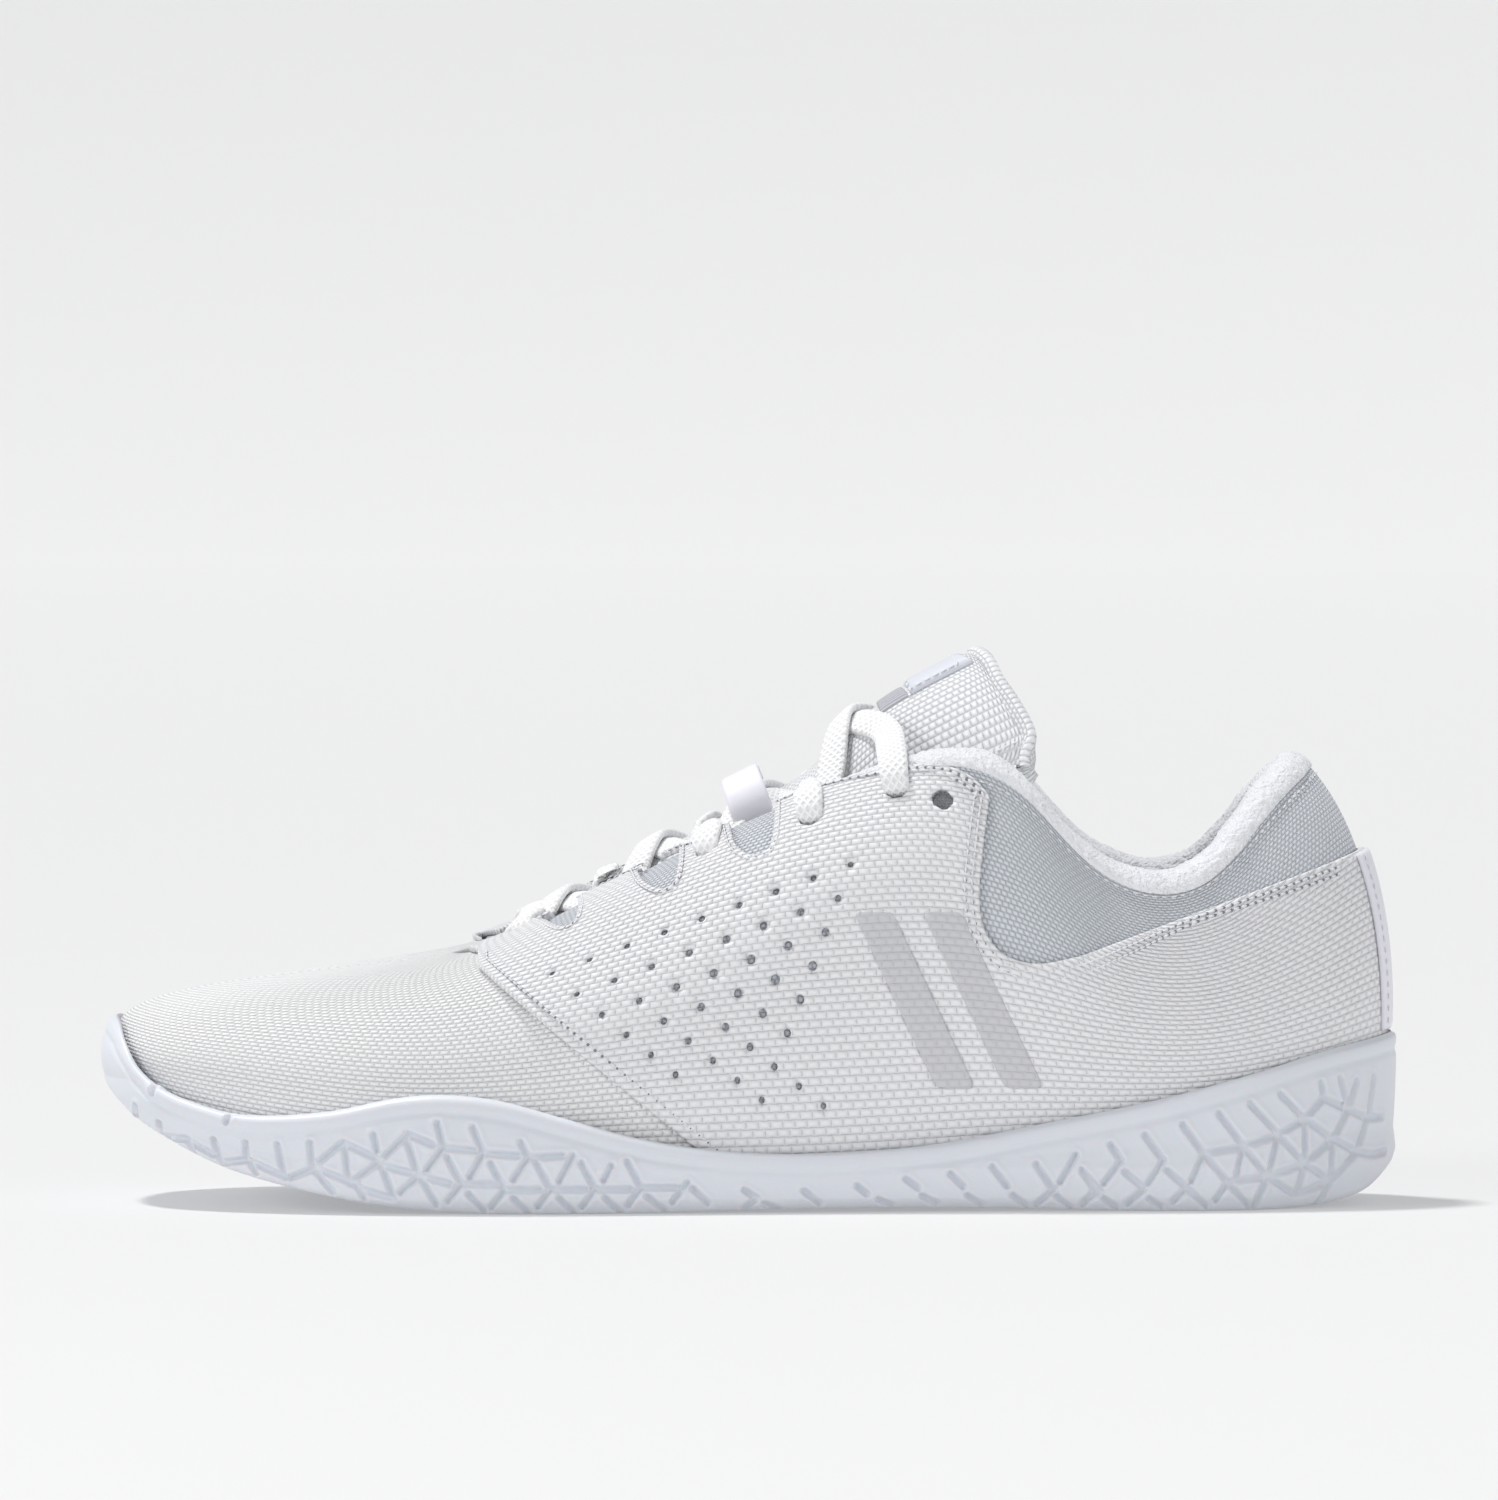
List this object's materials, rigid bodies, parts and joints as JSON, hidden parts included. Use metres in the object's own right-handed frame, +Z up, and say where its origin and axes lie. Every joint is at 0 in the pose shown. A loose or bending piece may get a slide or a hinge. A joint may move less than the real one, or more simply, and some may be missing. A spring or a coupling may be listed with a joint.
{
  "type": "cheer shoe",
  "caption": "Low-cut lace-up cheer shoe for the left foot with a sipe-cut sole, woven vamp, perforated side overlay and padded collar.",
  "frame": {"origin": "centre of the shoe's box, on the ground under the sole", "axes": "+X from toe to heel, -Y towards the outer (lateral) side, +Z up"},
  "size_m": [0.266, 0.0946, 0.1123],
  "materials": {
    "sole_rubber": "moulded one-piece unit, satin",
    "midsole_foam": "closed-cell foam",
    "board": "non-woven lasting board",
    "sockliner_foam": "open-cell foam sheet",
    "sockliner_cloth": "brushed polyester",
    "vamp_textile": "coarse woven textile",
    "overlay": "synthetic leather embossed with a woven grain",
    "collar_mesh": "spacer mesh",
    "lining": "knitted lining",
    "plush": "brushed looped pile",
    "foam": "upholstery foam",
    "stiffener": "thermoplastic sheet",
    "heel_tape": "smooth synthetic",
    "tongue_mesh": "knitted mesh",
    "badge": "soft raised patch, plain",
    "webbing": "narrow woven tape",
    "lace": "flat tubular braid",
    "aglet": "clear film tip"
  },
  "bodies": {
    "root": {"outsole_rear": "sole_rubber", "midsole_rear": "midsole_foam", "strobel_board_rear": "board", "sockliner_rear": "sockliner_foam", "sockliner_cloth_rear": "sockliner_cloth", "quarter_mesh": "collar_mesh", "saddle_outer": "overlay", "saddle_inner": "overlay", "eyelet_stay_outer": "stiffener", "eyelet_stay_inner": "stiffener", "quarter_lining_outer": "lining", "quarter_lining_inner": "lining", "heel_strip": "heel_tape", "heel_counter": "stiffener", "heel_lining": "lining", "collar_foam": "foam", "collar_lining": "plush", "collar_binding": "plush", "lace": "lace", "lace_tail_outer": "lace", "lace_tail_inner": "lace", "aglet_outer": "aglet", "aglet_inner": "aglet"},
    "forefoot": {"outsole_fore": "sole_rubber", "midsole_fore": "midsole_foam", "strobel_board_fore": "board", "sockliner_fore": "sockliner_foam", "sockliner_cloth_fore": "sockliner_cloth", "vamp": "vamp_textile", "vamp_lining": "lining", "toe_puff": "stiffener"},
    "tongue": {"tongue_mesh": "tongue_mesh", "tongue_foam": "foam", "tongue_lining": "lining", "tongue_badge": "badge", "tongue_tab": "webbing", "lace_keeper": "webbing"}
  },
  "joints": [
    {"name": "forefoot_flex", "type": "hinge", "parent": "root", "child": "forefoot", "pos_m": [-0.05, 0, 0.0245], "axis": [0, 1, 0], "range_deg": [0, 30], "stiffness_Nm_per_rad": 1.5, "deforming": ["vamp", "vamp_lining"]},
    {"name": "tongue_press", "type": "hinge", "parent": "root", "child": "tongue", "pos_m": [-0.053, 0, 0.05], "axis": [0, 1, 0], "range_deg": [0, 4], "stiffness_Nm_per_rad": 0.3, "springref_deg": -5.73, "deforming": ["lace"]}
  ]
}
